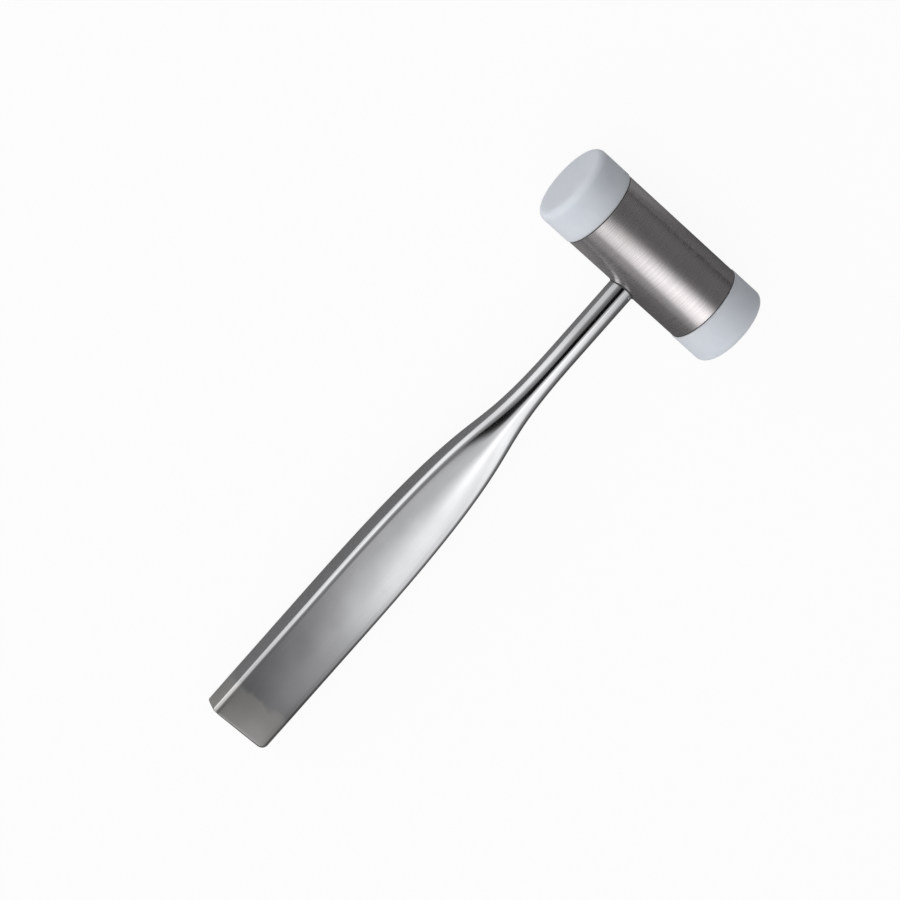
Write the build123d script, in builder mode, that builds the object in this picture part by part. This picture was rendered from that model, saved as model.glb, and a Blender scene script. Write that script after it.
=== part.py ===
"""Surgical mallet: a steel head with screwed-in nylon caps on a hollow flat-grip handle.

It lies on its side, as it rests on a table. The head's axis runs along Y, the handle runs
from the head at +X to the butt at -X, and +Z is up. The origin is on the table, below the
middle of the mallet. Sizes are in millimetres and angles in degrees.
"""
from build123d import *
from math import asin, atan2, cos, degrees, hypot, radians, sin, sqrt, tan
import os

# Head barrel, turned from bar
barrel_diameter = 31.5
barrel_length = 53.4
barrel_edge = 0.4
socket_diameter = 16.0
socket_depth = 14.0
socket_mouth = 1.0

# Nylon caps
cap_diameter = 32.0
cap_length = 14.6
cap_rim = 2.6
cap_edge = 0.25
spigot_length = 12.5
thread_height = 1.1
thread_play = 0.15
spigot_tip = 1.0
relief_width = 1.6
relief_depth = 0.5

# Handle outside
neck_diameter = 10.0
neck_reach = 46.0
flare_length = 121.0
neck_tension = 0.43
grip_tension = 0.8
grip_length = 57.0
grip_width = 25.0
grip_thickness = 15.0
grip_corner = 2.5
grip_crown = 1.2
side_crown = 2.5

# Handle inside, and how it is held in the head
handle_wall = 1.2
neck_seat = 2.6
tang_length = 50.0
tang_bite = 18.0
tang_tip = 0.8
fit_clearance = 0.1
drill_clearance = 0.3

# Closing piece at the butt
butt_length = 13.3
butt_corner = 2.4
butt_edge = 0.9
butt_slope = 0.6
butt_spigot = 6.0

# Shape of the sections
round_arc = 22.5
flare_sections = 13
round_sections = 6

neck_radius = neck_diameter / 2
cap_radius = cap_diameter / 2
barrel_radius = barrel_diameter / 2
spigot_radius = socket_diameter / 2 - thread_height - thread_play
handle_length = neck_reach + flare_length + grip_length
shell_end = handle_length - butt_length
seat_distance = barrel_radius - neck_seat
tang_radius = neck_radius - handle_wall - fit_clearance

# Rest attitude: both caps and the butt's lower edge touch the table
butt_drop = butt_length * tan(radians(butt_slope))
edge_reach = handle_length - butt_edge
edge_height = grip_thickness / 2 - butt_drop - butt_edge
rest_tilt = degrees(
    asin((cap_radius - butt_edge) / hypot(edge_reach, edge_height)) - atan2(edge_height, edge_reach)
)
tilt_cos = cos(radians(rest_tilt))
tilt_sin = sin(radians(rest_tilt))
butt_x_reach = edge_reach * tilt_cos + edge_height * tilt_sin + butt_edge
head_x = (butt_x_reach - cap_radius) / 2

# Planes: each has its origin on the head's axis or on a face of the barrel
head_plane = Plane(origin=(head_x, 0, cap_radius), x_dir=(1, 0, 0), z_dir=(0, 1, 0))
handle_plane = Plane(
    origin=(head_x, 0, cap_radius),
    x_dir=(0, -1, 0),
    z_dir=(-tilt_cos, 0, -tilt_sin),
)
front_plane = head_plane.offset(barrel_length / 2)
rear_plane = Plane(origin=head_plane.offset(-barrel_length / 2).origin, x_dir=(1, 0, 0), z_dir=(0, -1, 0))

# The flare's side in plan: distance from the head's axis, and half the width there
flare_side = Bezier(
    (neck_reach, neck_radius),
    (neck_reach + neck_tension * flare_length, neck_radius),
    (neck_reach + (1 - grip_tension) * flare_length, grip_width / 2),
    (neck_reach + flare_length, grip_width / 2),
)


def mix(start, end, share):
    """The value a given share of the way from start to end."""
    return start + (end - start) * share


def section_outline(half_width, half_thickness, corner, broad_arc, side_arc):
    """A closed outline of eight tangent arcs: four crowned sides and four corners.

    The two arc angles are half the angle that a side's crown takes up. With equal half
    width, half thickness and corner radius the outline is a full circle.
    """
    broad_rise = tan(radians(broad_arc) / 2)
    side_rise = tan(radians(side_arc) / 2)
    across = half_width - corner
    upright = half_thickness - corner
    centre_x = (across - side_rise * upright) / (1 - broad_rise * side_rise)
    centre_y = (upright - broad_rise * across) / (1 - broad_rise * side_rise)
    broad_end = Vector(corner, 0).rotate(Axis.Z, 90 - broad_arc) + Vector(centre_x, centre_y)
    side_end = Vector(corner, 0).rotate(Axis.Z, side_arc) + Vector(centre_x, centre_y)
    turn = Vector(corner, 0).rotate(Axis.Z, (90 - broad_arc + side_arc) / 2) + Vector(centre_x, centre_y)
    with BuildSketch(Plane.XY) as outline:
        with BuildLine():
            for y_side in (1, -1):
                ThreePointArc(
                    (-broad_end.X, y_side * broad_end.Y),
                    (0, y_side * half_thickness),
                    (broad_end.X, y_side * broad_end.Y),
                )
            for x_side in (1, -1):
                ThreePointArc(
                    (x_side * side_end.X, -side_end.Y),
                    (x_side * half_width, 0),
                    (x_side * side_end.X, side_end.Y),
                )
                for y_side in (1, -1):
                    ThreePointArc(
                        (x_side * broad_end.X, y_side * broad_end.Y),
                        (x_side * turn.X, y_side * turn.Y),
                        (x_side * side_end.X, y_side * side_end.Y),
                    )
        make_face()
    return outline.sketch


def handle_outline(half_width, inset):
    """The handle's outline where it is this wide, drawn in by the inset."""
    share = (half_width - neck_radius) / (grip_width / 2 - neck_radius)
    return section_outline(
        half_width - inset,
        mix(neck_radius, grip_thickness / 2, share) - inset,
        mix(neck_radius, grip_corner, share) - inset,
        mix(round_arc, grip_crown, share),
        mix(round_arc, side_crown, share),
    )


def round_inset(radius, to_end):
    """How far a rounding of this radius draws the outline in, this far from the end face."""
    reach = max(radius - to_end, 0)
    return radius - sqrt(radius**2 - reach**2)


def butt_outline(to_end):
    """The butt piece's outline this far from its end face."""
    edge_inset = round_inset(butt_edge, to_end)
    return section_outline(
        grip_width / 2 - round_inset(butt_corner, to_end),
        grip_thickness / 2 - butt_drop * (1 - to_end / butt_length) - edge_inset,
        grip_corner - edge_inset,
        grip_crown,
        side_crown,
    )


# Head barrel: a plain turned cylinder, tapped at both ends and drilled across for the handle
with BuildPart() as head_barrel:
    with BuildSketch(head_plane):
        Circle(barrel_radius)
    extrude(amount=barrel_length / 2, both=True)
    chamfer(head_barrel.edges().filter_by(GeomType.CIRCLE), barrel_edge)
    for end_plane in (front_plane, rear_plane):
        with Locations(end_plane):
            CounterSinkHole(
                radius=socket_diameter / 2,
                counter_sink_radius=socket_diameter / 2 + socket_mouth,
                depth=socket_depth,
                counter_sink_angle=90,
            )
    with Locations(handle_plane.offset(barrel_radius)):
        CounterBoreHole(
            radius=tang_radius + fit_clearance,
            counter_bore_radius=neck_radius + fit_clearance,
            counter_bore_depth=neck_seat,
            depth=neck_seat + tang_bite + drill_clearance,
        )
head_barrel.part.label = "head_barrel"

# Nylon caps: flat striking face, rounded rim, and a spigot that screws into the barrel
caps = {}
for cap_name, seat_plane in (("front_cap", front_plane), ("rear_cap", rear_plane)):
    outward = Axis(seat_plane.origin, seat_plane.z_dir)
    with BuildPart() as cap:
        with BuildSketch(seat_plane):
            Circle(cap_radius)
        extrude(amount=cap_length)
        rims = cap.edges().filter_by(GeomType.CIRCLE).sort_by(outward)
        fillet(rims[-1], cap_rim)
        chamfer(rims[0], cap_edge)
        with BuildSketch(seat_plane):
            Circle(spigot_radius)
        extrude(amount=-spigot_length)
        chamfer(cap.edges().filter_by(GeomType.CIRCLE).sort_by(outward)[0], spigot_tip)
        with BuildSketch(seat_plane):
            Circle(spigot_radius)
            Circle(spigot_radius - relief_depth, mode=Mode.SUBTRACT)
        extrude(amount=-relief_width, mode=Mode.SUBTRACT)
    cap.part.label = cap_name
    caps[cap_name] = cap.part

# Handle shell: a steel tube swaged round at the neck and pressed flat at the grip
with BuildPart() as handle_shell:
    for inset, mode in ((0, Mode.ADD), (handle_wall, Mode.SUBTRACT)):
        with BuildSketch(handle_plane.offset(seat_distance)):
            Circle(neck_radius - inset)
        extrude(amount=neck_reach - seat_distance, mode=mode)
        for step in range(flare_sections):
            point = flare_side @ (step / (flare_sections - 1))
            with BuildSketch(handle_plane.offset(point.X)):
                add(handle_outline(point.Y, inset))
        loft(mode=mode)
        with BuildSketch(handle_plane.offset(neck_reach + flare_length)):
            add(handle_outline(grip_width / 2, inset))
        extrude(amount=shell_end - neck_reach - flare_length, mode=mode)
handle_shell.part.label = "handle_shell"

# Handle tang: the solid rod inside the neck that fixes the handle in the barrel
with BuildPart() as handle_tang:
    with BuildSketch(handle_plane.offset(seat_distance - tang_bite)):
        Circle(tang_radius)
    extrude(amount=tang_length)
    chamfer(handle_tang.edges().filter_by(GeomType.CIRCLE), tang_tip)
handle_tang.part.label = "handle_tang"

# Butt piece: a solid end welded on and ground flush, with a spigot inside the shell
with BuildPart() as butt_piece:
    for to_end in (butt_length, butt_corner):
        with BuildSketch(handle_plane.offset(handle_length - to_end)):
            add(butt_outline(to_end))
    loft()
    for step in range(round_sections):
        to_end = butt_corner * (1 - sin(radians(90 * step / (round_sections - 1))))
        with BuildSketch(handle_plane.offset(handle_length - to_end)):
            add(butt_outline(to_end))
    loft()
    with BuildSketch(handle_plane.offset(shell_end)):
        add(handle_outline(grip_width / 2, handle_wall + fit_clearance))
    extrude(amount=-butt_spigot)
butt_piece.part.label = "butt_piece"

os.makedirs("parts", exist_ok=True)
export_step(head_barrel.part, "parts/head_barrel.step")
export_step(caps["front_cap"], "parts/front_cap.step")
export_step(caps["rear_cap"], "parts/rear_cap.step")
export_step(handle_shell.part, "parts/handle_shell.step")
export_step(handle_tang.part, "parts/handle_tang.step")
export_step(butt_piece.part, "parts/butt_piece.step")
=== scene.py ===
import bmesh
import bpy
from math import cos, pi, radians, sin, sqrt, tan
from mathutils import Matrix, Vector


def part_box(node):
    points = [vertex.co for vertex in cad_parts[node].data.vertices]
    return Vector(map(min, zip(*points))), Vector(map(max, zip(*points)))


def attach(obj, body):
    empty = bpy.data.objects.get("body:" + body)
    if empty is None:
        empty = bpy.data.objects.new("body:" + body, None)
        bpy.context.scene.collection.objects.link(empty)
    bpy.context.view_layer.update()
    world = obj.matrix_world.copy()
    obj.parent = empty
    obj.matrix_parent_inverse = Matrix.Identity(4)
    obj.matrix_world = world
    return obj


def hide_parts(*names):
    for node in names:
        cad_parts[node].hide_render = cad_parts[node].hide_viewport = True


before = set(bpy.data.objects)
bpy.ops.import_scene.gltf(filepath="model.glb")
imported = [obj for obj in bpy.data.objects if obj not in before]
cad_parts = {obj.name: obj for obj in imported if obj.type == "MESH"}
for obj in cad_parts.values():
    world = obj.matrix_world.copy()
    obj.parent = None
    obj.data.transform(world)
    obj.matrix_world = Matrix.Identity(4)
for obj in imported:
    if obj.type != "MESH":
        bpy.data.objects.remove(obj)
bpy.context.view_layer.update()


# Head barrel
# The barrel is a solid cylinder turned from stainless bar. The lathe and a fine abrasive belt
# leave a satin finish of rings round its axis. Both ends are tapped for the caps, and the
# handle's neck is set into a hole bored across its middle.
barrel_low, barrel_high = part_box("head_barrel")
head_centre = Vector(((barrel_low.x + barrel_high.x) / 2, 0, (barrel_low.z + barrel_high.z) / 2))
barrel_end = barrel_high.y


def new_material(name):
    """A new node material, its tree and its main shader."""
    material = bpy.data.materials.new(name)
    material.use_nodes = True
    tree = material.node_tree
    shader = tree.nodes["Principled BSDF"]
    return material, tree, shader


def add_node(tree, kind, settings=None, **inputs):
    """A node with its settings and its inputs, each input by name or by number, as in i0."""
    node = tree.nodes.new(kind)
    for key, value in (settings or {}).items():
        setattr(node, key, value)
    for key, value in inputs.items():
        socket = node.inputs[int(key[1:])] if key[1:].isdigit() else node.inputs[key]
        if isinstance(value, bpy.types.NodeSocket):
            tree.links.new(value, socket)
        else:
            socket.default_value = value
    return node


def placed(tree, centre, scale, turn=(0, 0, 0)):
    """Object coordinates counted from a centre, then scaled and turned."""
    where = add_node(tree, "ShaderNodeTexCoord")
    shift = add_node(tree, "ShaderNodeMapping", i0=where.outputs["Object"], Location=-centre)
    return add_node(
        tree, "ShaderNodeMapping", i0=shift.outputs[0], Rotation=turn, Scale=scale
    ).outputs[0]


def noise(tree, vector, scale, detail=3.0, rough=0.55):
    """The value of a noise pattern."""
    node = add_node(tree, "ShaderNodeTexNoise", Vector=vector, Scale=scale, Detail=detail, Roughness=rough)
    return node.outputs["Fac"]


def remap(tree, value, low, high, to_low, to_high):
    """A value moved from one range to another and held within it."""
    node = add_node(tree, "ShaderNodeMapRange", i0=value, i1=low, i2=high, i3=to_low, i4=to_high)
    return node.outputs[0]


def two_tints(tree, value, dark, light):
    """A colour that drifts between two tints with a noise value."""
    tint = add_node(tree, "ShaderNodeMix", {"data_type": "RGBA"}, i0=remap(tree, value, 0.3, 0.7, 0, 1))
    tint.inputs[6].default_value = (*dark, 1)
    tint.inputs[7].default_value = (*light, 1)
    return tint.outputs[2]


def bump(tree, height, distance, strength, below=None):
    """A bump normal, on top of the one below it if there is one."""
    node = add_node(tree, "ShaderNodeBump", Height=height, Distance=distance, Strength=strength)
    if below:
        tree.links.new(below, node.inputs["Normal"])
    return node.outputs[0]


def turned_steel():
    """Satin steel with the rings that turning and belt finishing leave round the Y axis."""
    material, tree, shader = new_material("turned_satin_steel")
    shader.inputs["Metallic"].default_value = 1
    shader.inputs["Anisotropic"].default_value = 0.7
    shader.inputs["Anisotropic Rotation"].default_value = 0.25
    belt_rings = noise(tree, placed(tree, head_centre, (25, 2600, 25)), 1, 4, 0.65)
    fine_rings = noise(tree, placed(tree, head_centre, (60, 9000, 60)), 1, 2)
    cloud = noise(tree, placed(tree, head_centre, (1, 1, 1)), 60, 3)
    tint = two_tints(tree, cloud, (0.72, 0.68, 0.685), (0.78, 0.74, 0.745))
    tree.links.new(tint, shader.inputs["Base Color"])
    tree.links.new(remap(tree, belt_rings, 0.3, 0.7, 0.22, 0.34), shader.inputs["Roughness"])
    tangent = add_node(tree, "ShaderNodeTangent", {"direction_type": "RADIAL", "axis": "Y"})
    tree.links.new(tangent.outputs[0], shader.inputs["Tangent"])
    grooves = bump(tree, belt_rings, 0.00002, 0.27)
    grooves = bump(tree, fine_rings, 0.00001, 0.3, grooves)
    tree.links.new(grooves, shader.inputs["Normal"])
    return material


def dress(node_name, material):
    """Gives every slot of a CAD node one material."""
    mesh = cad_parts[node_name].data
    mesh.materials.clear()
    mesh.materials.append(material)


satin_steel = turned_steel()
dress("head_barrel", satin_steel)


# Nylon caps
# Each cap is turned from natural white nylon, in one piece with the threaded spigot that
# screws it into the barrel. The striking face is flat and its rim is rounded. Light goes a
# little way into the nylon, and the tool leaves faint rings.
spigot_radius = 0.00675
socket_radius = 0.008
thread_pitch = 0.002
thread_height = 0.0011
thread_base = 0.40 * thread_pitch
thread_flat = 0.10 * thread_pitch
thread_sunk = 0.0001
thread_start = 0.0029
spigot_turns = 4
socket_turns = 5
steps_a_turn = 48


def turned_nylon():
    """Natural white nylon, faintly translucent, with fine tool rings."""
    material, tree, shader = new_material("natural_nylon")
    shader.inputs["IOR"].default_value = 1.53
    shader.inputs["Specular IOR Level"].default_value = 0.3
    shader.inputs["Subsurface Weight"].default_value = 0.8
    shader.inputs["Subsurface Scale"].default_value = 0.005
    shader.inputs["Subsurface Radius"].default_value = (1.0, 1.0, 1.0)
    cloud = noise(tree, placed(tree, head_centre, (1, 1, 1)), 90, 3)
    tool_rings = noise(tree, placed(tree, head_centre, (30, 2200, 30)), 1, 3)
    specks = noise(tree, placed(tree, head_centre, (1, 1, 1)), 1400, 2)
    tint = two_tints(tree, cloud, (0.6, 0.635, 0.69), (0.65, 0.68, 0.725))
    tree.links.new(tint, shader.inputs["Base Color"])
    tree.links.new(remap(tree, tool_rings, 0.3, 0.7, 0.48, 0.62), shader.inputs["Roughness"])
    marks = bump(tree, tool_rings, 0.00002, 0.25)
    marks = bump(tree, specks, 0.00002, 0.12, marks)
    tree.links.new(marks, shader.inputs["Normal"])
    return material


def place_piece(name, mesh, material, body):
    """Makes the mesh a piece with its material, which rides on a body."""
    data = bpy.data.meshes.new(name)
    mesh.to_mesh(data)
    mesh.free()
    data.materials.append(material)
    piece = bpy.data.objects.new(name, data)
    bpy.context.scene.collection.objects.link(piece)
    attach(piece, body)
    return piece


def cut_thread(root, crest, start, turns, side):
    """A helical thread ridge round the head's axis, spun from a small flat-topped profile."""
    mesh = bmesh.new()
    corners = [
        mesh.verts.new((root, start - thread_base, 0)),
        mesh.verts.new((crest, start - thread_flat, 0)),
        mesh.verts.new((crest, start + thread_flat, 0)),
        mesh.verts.new((root, start + thread_base, 0)),
    ]
    profile = mesh.faces.new(corners)
    bmesh.ops.spin(
        mesh,
        geom=[profile, *profile.edges, *corners],
        axis=(0, 1, 0),
        cent=(0, 0, 0),
        dvec=(0, side * thread_pitch / steps_a_turn, 0),
        angle=side * 2 * pi * turns,
        steps=turns * steps_a_turn,
    )
    bmesh.ops.remove_doubles(mesh, verts=mesh.verts, dist=1e-7)
    bmesh.ops.translate(mesh, verts=mesh.verts, vec=head_centre)
    bmesh.ops.recalc_face_normals(mesh, faces=mesh.faces)
    return mesh


nylon = turned_nylon()
for cap_name, side in (("front_cap", 1), ("rear_cap", -1)):
    dress(cap_name, nylon)
    first_turn = barrel_end - thread_start
    thread = cut_thread(
        spigot_radius - thread_sunk, spigot_radius + thread_height - thread_sunk,
        side * first_turn, spigot_turns, -side,
    )
    place_piece(cap_name + "_thread", thread, nylon, cap_name)
    thread = cut_thread(
        socket_radius + thread_sunk, socket_radius - thread_height + 2 * thread_sunk,
        side * (first_turn + thread_pitch / 2), socket_turns, -side,
    )
    place_piece(cap_name + "_socket_thread", thread, satin_steel, "mallet")


# Joint shade lines
# Where each cap meets the barrel, the shade in the small groove between the two broken edges is
# painted: a ring of dark matt colour lies in the groove, a thin painted shade line round the head,
# and a like ring paints the shade round the neck where it enters the barrel.
groove_width = 0.0004
groove_bottom = 0.00037
skin_gap = 0.00001
shade_ring_lip = 0.00005
barrel_radius = (barrel_high.x - barrel_low.x) / 2


def painted_shade_material():
    """Dull dark colour for the painted shade in the joints, a little uneven."""
    material, tree, shader = new_material("painted_joint_shade")
    shader.inputs["Roughness"].default_value = 0.8
    uneven = noise(tree, placed(tree, head_centre, (1, 1, 1)), 900, 2)
    tint = two_tints(tree, uneven, (0.02, 0.02, 0.021), (0.06, 0.06, 0.062))
    tree.links.new(tint, shader.inputs["Base Color"])
    return material


joint_shade = painted_shade_material()


def shade_ring(name, profile, put):
    """A closed ring, spun from a three-cornered profile of heights and radii, then put in place."""
    mesh = bmesh.new()
    corners = [mesh.verts.new((height, radius, 0)) for height, radius in profile]
    section = mesh.faces.new(corners)
    bmesh.ops.spin(
        mesh,
        geom=[section, *section.edges, *corners],
        axis=(1, 0, 0),
        cent=(0, 0, 0),
        angle=2 * pi,
        steps=128,
        use_merge=True,
    )
    bmesh.ops.remove_doubles(mesh, verts=mesh.verts, dist=1e-7)
    sections = [face for face in mesh.faces if len(face.verts) == 3]
    bmesh.ops.delete(mesh, geom=sections, context="FACES_ONLY")
    for vert in mesh.verts:
        vert.co = put(*vert.co)
    bmesh.ops.recalc_face_normals(mesh, faces=mesh.faces)
    if mesh.calc_volume(signed=True) < 0:
        bmesh.ops.reverse_faces(mesh, faces=mesh.faces)
    place_piece(name, mesh, joint_shade, "mallet")


# Painted shade: each cap's groove holds a dark ring that stands for the shade in it.
groove = (
    (-groove_width, barrel_radius - skin_gap),
    (-skin_gap, barrel_radius - shade_ring_lip),
    (-skin_gap, barrel_radius - groove_bottom),
)
for joint_name, side in (("front_joint_shade_line", 1), ("rear_joint_shade_line", -1)):
    shade_ring(
        joint_name, groove,
        lambda height, x, z: head_centre + Vector((x, side * (barrel_end + height), z)),
    )


# Handle shell
# The handle is a stainless tube, swaged round at the neck and pressed to a flat grip, hollow
# from end to end. It is polished by hand along its length, so the faces of the grip are
# faintly crowned, its corners are soft and it carries hairline marks.
handle_tilt = radians(2.2205)
toward_butt = Vector((-cos(handle_tilt), 0, -sin(handle_tilt)))
above_handle = Vector((-sin(handle_tilt), 0, cos(handle_tilt)))
neck_radius = 0.005
neck_reach = 0.046
flare_length = 0.121
neck_tension = 0.43
grip_tension = 0.80
grip_length = 0.057
grip_half_width = 0.0125
grip_half_thickness = 0.0075
grip_corner = 0.0025
grip_crown = radians(1.2)
side_crown = radians(2.5)
round_arc = radians(22.5)
handle_wall = 0.0012
neck_seat = 0.0026
butt_length = 0.0133
ground_blur = 0.001
broad_steps = 8
corner_steps = 10
side_steps = 5
neck_rings = 6
flare_rings = 64
grip_rings = 8
neck_shade_sunk = 0.0001
neck_shade_width = 0.0009
neck_shade_height = 0.0004
handle_length = neck_reach + flare_length + grip_length
shell_end = handle_length - butt_length
seat_distance = barrel_radius - neck_seat


def mix(start, end, share):
    """The value a given share of the way from start to end."""
    return start + (end - start) * share


def outline(half_width, half_thickness, corner, broad_arc, side_arc):
    """The points round a section: crowned sides and round corners, all tangent arcs."""
    broad_rise = tan(broad_arc / 2)
    side_rise = tan(side_arc / 2)
    across = half_width - corner
    upright = half_thickness - corner
    centre_y = (across - side_rise * upright) / (1 - broad_rise * side_rise)
    centre_z = (upright - broad_rise * across) / (1 - broad_rise * side_rise)
    broad_radius = corner + centre_y / sin(broad_arc)
    side_radius = corner + centre_z / sin(side_arc)
    quarter = []
    for step in range(broad_steps):
        lean = broad_arc * step / broad_steps
        quarter.append((broad_radius * sin(lean), half_thickness - broad_radius * (1 - cos(lean))))
    for step in range(corner_steps):
        lean = mix(broad_arc, pi / 2 - side_arc, step / corner_steps)
        quarter.append((centre_y + corner * sin(lean), centre_z + corner * cos(lean)))
    for step in range(side_steps + 1):
        rise = side_arc * (1 - step / side_steps)
        quarter.append((half_width - side_radius * (1 - cos(rise)), side_radius * sin(rise)))
    lower = [(y, -z) for y, z in reversed(quarter[:-1])]
    right = quarter + lower
    left = [(-y, z) for y, z in reversed(right[1:-1])]
    return right + left


def handle_outline(half_width, inset):
    """The handle's section where it is this wide, drawn in by the inset."""
    share = (half_width - neck_radius) / (grip_half_width - neck_radius)
    return outline(
        half_width - inset,
        mix(neck_radius, grip_half_thickness, share) - inset,
        mix(neck_radius, grip_corner, share) - inset,
        mix(round_arc, grip_crown, share),
        mix(round_arc, side_crown, share),
    )


def flare_station(share):
    """Distance from the head's axis and half width, this far along the flare's curved side."""
    reach = (0, neck_tension * flare_length, (1 - grip_tension) * flare_length, flare_length)
    width = (neck_radius, neck_radius, grip_half_width, grip_half_width)
    weight = ((1 - share) ** 3, 3 * (1 - share) ** 2 * share, 3 * (1 - share) * share ** 2, share ** 3)
    return (
        neck_reach + sum(w * r for w, r in zip(weight, reach)),
        sum(w * r for w, r in zip(weight, width)),
    )


def loft(name, rings, node, hollow):
    """A skin through the rings, each a distance from the head's axis and a section.

    A hollow skin's last ring is joined to its first. A solid one's ends are closed.
    """
    mesh = bmesh.new()
    around = mesh.verts.layers.int.new("around")
    made = bmesh.ops.create_circle(mesh, segments=len(rings[0][1]), radius=1)
    for number, vert in enumerate(made["verts"]):
        vert[around] = number
    first_edges = list(mesh.edges)
    edges = first_edges
    for number, (distance, points) in enumerate(rings):
        if number:
            grown = bmesh.ops.extrude_edge_only(mesh, edges=edges)["geom"]
            edges = [part for part in grown if isinstance(part, bmesh.types.BMEdge)]
        for vert in {vert for edge in edges for vert in edge.verts}:
            y, z = points[vert[around]]
            vert.co = head_centre + toward_butt * distance + Vector((0, y, 0)) + above_handle * z
    if hollow:
        bmesh.ops.bridge_loops(mesh, edges=first_edges + edges)
    else:
        bmesh.ops.contextual_create(mesh, geom=first_edges)
        bmesh.ops.contextual_create(mesh, geom=edges)
    bmesh.ops.recalc_face_normals(mesh, faces=mesh.faces)
    for face in mesh.faces:
        face.smooth = True
    skin = place_piece(name, mesh, bright_steel, "mallet")
    skin.data.set_sharp_from_angle(angle=radians(35))
    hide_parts(node)


def polished_steel():
    """Steel with fine marks along the handle, faint clouding, and a duller ground end."""
    material, tree, shader = new_material("polished_steel")
    shader.inputs["Metallic"].default_value = 1
    shader.inputs["Anisotropic"].default_value = 0.25
    level = (0, handle_tilt, 0)
    plain = placed(tree, head_centre, (1, 1, 1), level)
    hairlines = noise(tree, placed(tree, head_centre, (18, 2400, 2400), level), 1, 3, 0.6)
    brush = noise(tree, placed(tree, head_centre, (60, 900, 900), level), 1, 3)
    tint = two_tints(tree, noise(tree, plain, 45, 3), (0.58, 0.585, 0.595), (0.655, 0.66, 0.675))
    along = add_node(tree, "ShaderNodeSeparateXYZ", i0=plain).outputs[0]
    wander = remap(tree, noise(tree, plain, 160, 2), 0.3, 0.7, -ground_blur, ground_blur)
    place = add_node(tree, "ShaderNodeMath", {"operation": "ADD"}, i0=along, i1=wander).outputs[0]
    ground = remap(tree, place, -shell_end - ground_blur, -shell_end + ground_blur, 1, 0)
    ground_tint = add_node(tree, "ShaderNodeMix", {"data_type": "RGBA"}, i0=ground, i6=tint)
    ground_tint.inputs[7].default_value = (0.82, 0.81, 0.795, 1)
    tree.links.new(ground_tint.outputs[2], shader.inputs["Base Color"])
    polish = remap(tree, hairlines, 0.3, 0.7, 0.07, 0.13)
    grind = add_node(tree, "ShaderNodeMath", {"operation": "MULTIPLY_ADD"}, i0=ground, i1=0.06, i2=polish)
    tree.links.new(grind.outputs[0], shader.inputs["Roughness"])
    tangent = add_node(tree, "ShaderNodeTangent", {"direction_type": "RADIAL", "axis": "X"})
    tree.links.new(tangent.outputs[0], shader.inputs["Tangent"])
    marks = bump(tree, noise(tree, plain, 28, 2), 0.0003, 0.8)
    marks = bump(tree, brush, 0.00001, 0.08, marks)
    marks = bump(tree, hairlines, 0.00001, 0.08, marks)
    tree.links.new(marks, shader.inputs["Normal"])
    return material


bright_steel = polished_steel()
stations = [(mix(seat_distance, neck_reach, step / neck_rings), neck_radius) for step in range(neck_rings)]
stations += [flare_station(step / flare_rings) for step in range(flare_rings)]
stations += [
    (mix(neck_reach + flare_length, shell_end, step / grip_rings), grip_half_width)
    for step in range(grip_rings + 1)
]
outside = [(distance, handle_outline(half_width, 0)) for distance, half_width in stations]
inside = [
    (distance, handle_outline(half_width, handle_wall)) for distance, half_width in reversed(stations[::2])
]
loft("handle_skin", outside + inside, "handle_shell", hollow=True)


def on_barrel(height, y, z):
    """A point this high above the barrel's skin, and this far from the handle's axis."""
    distance = sqrt(barrel_radius ** 2 - z ** 2) + height
    return head_centre + toward_butt * distance + Vector((0, y, 0)) + above_handle * z


# Painted shade: a dark ring round the neck, where it enters the barrel, stands for the shade there.
neck_shade_profile = (
    (-neck_shade_sunk, neck_radius - shade_ring_lip),
    (-neck_shade_sunk, neck_radius + neck_shade_width),
    (neck_shade_height, neck_radius - shade_ring_lip),
)
shade_ring("neck_shade_line", neck_shade_profile, on_barrel)


# Handle tang
# A solid steel rod fills the neck and goes on into the barrel's cross bore, where it is pressed
# and welded. It is turned, and hidden once the handle is in the head.
dress("handle_tang", satin_steel)


# Butt piece
# The open end of the handle is closed by a solid steel end, let in with a spigot, welded and
# ground flush. It is ground at a slightly other slope than the grip and left duller, so the
# light changes across the faces where it begins. Its edges are broken all round.
butt_corner = 0.0024
butt_near_corner = 0.0009
butt_edge = 0.0009
butt_slope = radians(0.6)
butt_spigot = 0.006
fit_clearance = 0.0001
corner_rings = 10


def round_inset(radius, to_end):
    """How far a rounding of this radius draws the outline in, this far from the end face."""
    reach = max(radius - to_end, 0)
    return radius - sqrt(radius ** 2 - reach ** 2)


def butt_ring(to_end):
    """The butt piece's ring this far from its end face, less rounded on its near side."""
    edge_inset = round_inset(butt_edge, to_end)
    drop = (butt_length - to_end) * tan(butt_slope)
    near, far = (
        outline(
            grip_half_width - round_inset(corner, to_end),
            grip_half_thickness - drop - edge_inset,
            grip_corner - edge_inset,
            grip_crown,
            side_crown,
        )
        for corner in (butt_near_corner, butt_corner)
    )
    return handle_length - to_end, [n if n[0] > 0 else f for n, f in zip(near, far)]


spigot = handle_outline(grip_half_width, handle_wall + fit_clearance)
butt_rings = [(shell_end - butt_spigot, spigot), (shell_end, spigot)]
butt_rings += [butt_ring(mix(butt_length, butt_corner, step / 3)) for step in range(4)]
butt_rings += [
    butt_ring(butt_corner * (1 - sin(pi / 2 * step / corner_rings))) for step in range(1, corner_rings + 1)
]
loft("butt_skin", butt_rings, "butt_piece", hollow=False)


# Floor
# A wide sheet of matt white board, with a soft shadow where the mallet lies on it. A grey card of
# painted shade lies under and behind the mallet, darker behind it, and only its reflections show it:
# it stands for the shade on the floor round the mallet as the polished steel mirrors it.
board_half_width = 6
board_drop = 0.0003
board_glow = 0.93
card_drop = 0.0002
card_corners = ((-0.6, -0.6), (0.6, -0.6), (0.6, 0.085), (0.07, 0.085), (-0.03, 0.032), (-0.6, 0.032))


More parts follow.
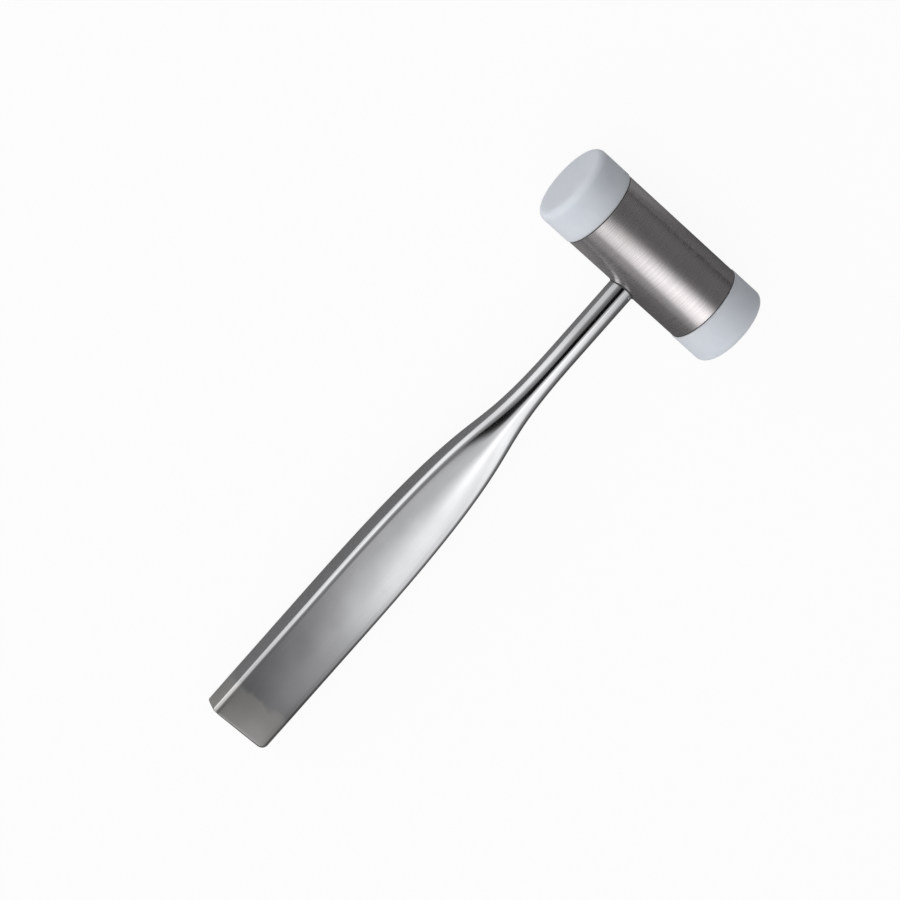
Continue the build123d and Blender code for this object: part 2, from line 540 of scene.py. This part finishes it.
def seen_directly(tree):
    """One where the camera, a reflection or a view through the nylon meets the surface."""
    ray = add_node(tree, "ShaderNodeLightPath")
    both = add_node(
        tree, "ShaderNodeMath", {"operation": "MAXIMUM"},
        i0=ray.outputs["Is Camera Ray"], i1=ray.outputs["Is Glossy Ray"],
    )
    return add_node(
        tree, "ShaderNodeMath", {"operation": "MAXIMUM"},
        i0=both.outputs[0], i1=ray.outputs["Is Transmission Ray"],
    ).outputs[0]


def stage_material(name):
    """An empty material for the studio."""
    material = bpy.data.materials.new(name)
    material.use_nodes = True
    material.node_tree.nodes.clear()
    return material, material.node_tree


def stage_object(name, mesh, material, reflections_only):
    """Makes the mesh a piece of the studio, seen by all rays or only in reflections."""
    data = bpy.data.meshes.new(name)
    mesh.to_mesh(data)
    mesh.free()
    data.materials.append(material)
    thing = bpy.data.objects.new(name, data)
    bpy.context.scene.collection.objects.link(thing)
    if reflections_only:
        thing.visible_camera = False
        thing.visible_diffuse = False
        thing.visible_transmission = False
        thing.visible_shadow = False


board, tree = stage_material("white_board")
matt = add_node(tree, "ShaderNodeBsdfDiffuse", Color=(0.86, 0.86, 0.86, 1))
bright = add_node(tree, "ShaderNodeEmission", Color=(1, 1, 1, 1), Strength=1.0)
share = add_node(tree, "ShaderNodeMath", {"operation": "MULTIPLY"}, i0=seen_directly(tree), i1=board_glow)
mixed = add_node(tree, "ShaderNodeMixShader", i0=share.outputs[0], i1=matt.outputs[0], i2=bright.outputs[0])
add_node(tree, "ShaderNodeOutputMaterial", Surface=mixed.outputs[0])
mesh = bmesh.new()
bmesh.ops.create_grid(mesh, x_segments=1, y_segments=1, size=board_half_width)
bmesh.ops.translate(mesh, verts=mesh.verts, vec=(0, 0, -board_drop))
stage_object("floor", mesh, board, False)

shade_card_material, tree = stage_material("shade_card_material")
where = add_node(tree, "ShaderNodeTexCoord")
across_card = add_node(tree, "ShaderNodeSeparateXYZ", i0=where.outputs["Object"]).outputs[1]
# Painted shade: the card's grey is darkest under and behind the mallet and lighter towards the near side.
grey = remap(tree, across_card, -0.015, 0.005, 0.16, 0.32)
matt = add_node(tree, "ShaderNodeBsdfDiffuse", Color=grey)
add_node(tree, "ShaderNodeOutputMaterial", Surface=matt.outputs[0])
mesh = bmesh.new()
mesh.faces.new([mesh.verts.new((x, y, -card_drop)) for x, y in card_corners])
stage_object("painted_shade_card", mesh, shade_card_material, True)


# Studio
# The mallet lies in a long round tent. Its cloth is bright overhead and low on the near side,
# grey between them, and dark at the gap for the camera and towards both ends. Two soft lamps
# light the matt surfaces.
tent_radius = 0.15
tent_half_length = 0.9
tent_reach = 0.3
tent_strength = 1.85
gap_strength = 0.005
# Round the tent: degrees from straight up towards the near side, and how bright the cloth is there.
# Along the tent: metres towards the head, and how bright the cloth is there.
overhead_round = (
    (-90, 0.14), (-78, 0.15), (-70, 0.33), (-58, 0.63), (-45, 0.72), (-38, 0.78), (-32, 0.72), (-28, 0.82),
    (-25, 1.0), (-22, 1.0), (-19, 0.73), (-16, 0.54), (-14, 0.42), (-8, 0.36), (-2, 0.26), (6, 0.0),
)
overhead_along = (
    (-0.30, 0.22), (-0.20, 0.23), (-0.15, 0.20), (-0.143, 0.12), (-0.13, 0.115), (-0.11, 0.20), (-0.09, 0.34),
    (-0.06, 0.60), (-0.03, 0.71), (0.00, 0.84), (0.03, 1.0), (0.06, 0.92), (0.085, 0.60), (0.105, 0.30),
    (0.125, 0.09), (0.15, 0.06), (0.30, 0.09),
)
side_round = ((-20, 0.03), (0, 0.11), (12, 0.16), (32, 0.14), (50, 0.30), (57, 0.55), (65, 0.72), (90, 0.72))
side_along = (
    (-0.30, 0.30), (-0.16, 0.38), (-0.12, 0.62), (-0.08, 0.95), (-0.05, 1.0), (0.035, 1.0), (0.052, 0.93),
    (0.062, 0.78), (0.07, 0.64), (0.12, 0.6), (0.18, 0.4), (0.30, 0.3),
)
gap_round = ((-8, 0), (-3, 1), (20, 1), (26, 0))
gap_along = ((0.022, 0), (0.036, 1), (0.11, 1), (0.14, 0))


def ramp(tree, value, low, high, stops):
    """A value read from a list of stops, each a place between low and high and a level."""
    node = add_node(tree, "ShaderNodeValToRGB", i0=remap(tree, value, low, high, 0, 1))
    elements = node.color_ramp.elements
    while len(elements) > 1:
        elements.remove(elements[-1])
    for number, (place, level) in enumerate(stops):
        share = (place - low) / (high - low)
        element = elements.new(share) if number else elements[0]
        element.position = share
        element.color = (level, level, level, 1)
    return node.outputs[0]


cloth, tree = stage_material("tent_cloth")
where = add_node(tree, "ShaderNodeTexCoord")
place = add_node(tree, "ShaderNodeSeparateXYZ", i0=where.outputs["Object"])
height = add_node(tree, "ShaderNodeMath", {"operation": "SUBTRACT"}, i0=place.outputs[2], i1=head_centre.z)
turn = add_node(tree, "ShaderNodeMath", {"operation": "ARCTAN2"}, i0=place.outputs[1], i1=height.outputs[0])


def round_and_along(round_stops, along_stops):
    """A level that varies both round the tent and along it."""
    stops = [(radians(angle), level) for angle, level in round_stops]
    across = ramp(tree, turn.outputs[0], -pi / 2, pi / 2, stops)
    along = ramp(tree, place.outputs[0], -tent_reach, tent_reach, along_stops)
    return add_node(tree, "ShaderNodeMath", {"operation": "MULTIPLY"}, i0=across, i1=along).outputs[0]


overhead = round_and_along(overhead_round, overhead_along)
side = round_and_along(side_round, side_along)
bright = add_node(tree, "ShaderNodeMath", {"operation": "ADD"}, i0=overhead, i1=side).outputs[0]
strength = remap(tree, round_and_along(gap_round, gap_along), 0, 1, tent_strength, gap_strength)
level = add_node(tree, "ShaderNodeMath", {"operation": "MULTIPLY"}, i0=bright, i1=strength).outputs[0]
glow = add_node(tree, "ShaderNodeEmission", Color=(1, 1, 1, 1), Strength=level)
add_node(tree, "ShaderNodeOutputMaterial", Surface=glow.outputs[0])
mesh = bmesh.new()
bmesh.ops.create_cone(
    mesh, cap_ends=True, segments=72, radius1=tent_radius, radius2=tent_radius, depth=2 * tent_half_length
)
bmesh.ops.rotate(mesh, verts=mesh.verts, matrix=Matrix.Rotation(pi / 2, 3, "Y"))
bmesh.ops.translate(mesh, verts=mesh.verts, vec=(0, 0, head_centre.z))
stage_object("tent", mesh, cloth, True)


def lamp(name, place, size, power):
    """A soft square lamp aimed at the mallet, which lights matt surfaces only."""
    data = bpy.data.lights.new(name, "AREA")
    data.shape = "SQUARE"
    data.size = size
    data.energy = power
    light = bpy.data.objects.new(name, data)
    light.location = place
    light.rotation_mode = "QUATERNION"
    light.rotation_quaternion = (-Vector(place)).to_track_quat("-Z", "Y")
    light.visible_glossy = False
    bpy.context.scene.collection.objects.link(light)


lamp("key_lamp", (-0.6, 0.6, 1.2), 1.1, 3)
lamp("low_lamp", (-0.3, 1.3, 0.4), 0.6, 3)

world = bpy.data.worlds.new("studio")
bpy.context.scene.world = world
world.use_nodes = True
sky = world.node_tree
sky.nodes.clear()
white_room = add_node(sky, "ShaderNodeBackground", Color=(1, 1, 1, 1), Strength=1.0)
heading = add_node(sky, "ShaderNodeSeparateXYZ", i0=add_node(sky, "ShaderNodeTexCoord").outputs["Generated"])
brighter_side = remap(sky, heading.outputs[0], -1, 1, 1.22, 0.08)
soft_room = add_node(sky, "ShaderNodeBackground", Color=(1, 1, 1, 1), Strength=brighter_side)
room = add_node(
    sky, "ShaderNodeMixShader", i0=seen_directly(sky), i1=soft_room.outputs[0], i2=white_room.outputs[0]
)
add_node(sky, "ShaderNodeOutputWorld", Surface=room.outputs[0])


# Camera
# A long lens looks down on the mallet from the front cap's side and a little from beyond the
# head, turned so that the head is at the upper right, as in the photograph.
view_lean = radians(18.85)
view_swing = radians(2.4)
handle_roll = radians(48.52)
camera_distance = 1.2
frame_width = 0.3212
film_width = 36
aim_along = 0.09914
aim_across = 0.0077

along_handle = -toward_butt
swung_up = above_handle * cos(view_swing) + along_handle * sin(view_swing)
toward_camera = Vector((0, 1, 0)) * sin(view_lean) + swung_up * cos(view_lean)
along_view = (along_handle - toward_camera * along_handle.dot(toward_camera)).normalized()
across_view = toward_camera.cross(along_view)
image_right = along_view * cos(handle_roll) - across_view * sin(handle_roll)
image_up = along_view * sin(handle_roll) + across_view * cos(handle_roll)
aim = head_centre - along_handle * aim_along + across_view * aim_across

lens = bpy.data.cameras.new("camera")
lens.sensor_width = film_width
lens.lens = film_width * camera_distance / frame_width
lens.clip_start = 0.01
lens.clip_end = 50
camera = bpy.data.objects.new("camera", lens)
turn_matrix = Matrix((image_right, image_up, toward_camera)).transposed()
camera.matrix_world = Matrix.Translation(aim + toward_camera * camera_distance) @ turn_matrix.to_4x4()
bpy.context.scene.collection.objects.link(camera)
bpy.context.scene.camera = camera
bpy.context.scene.view_settings.view_transform = "Standard"
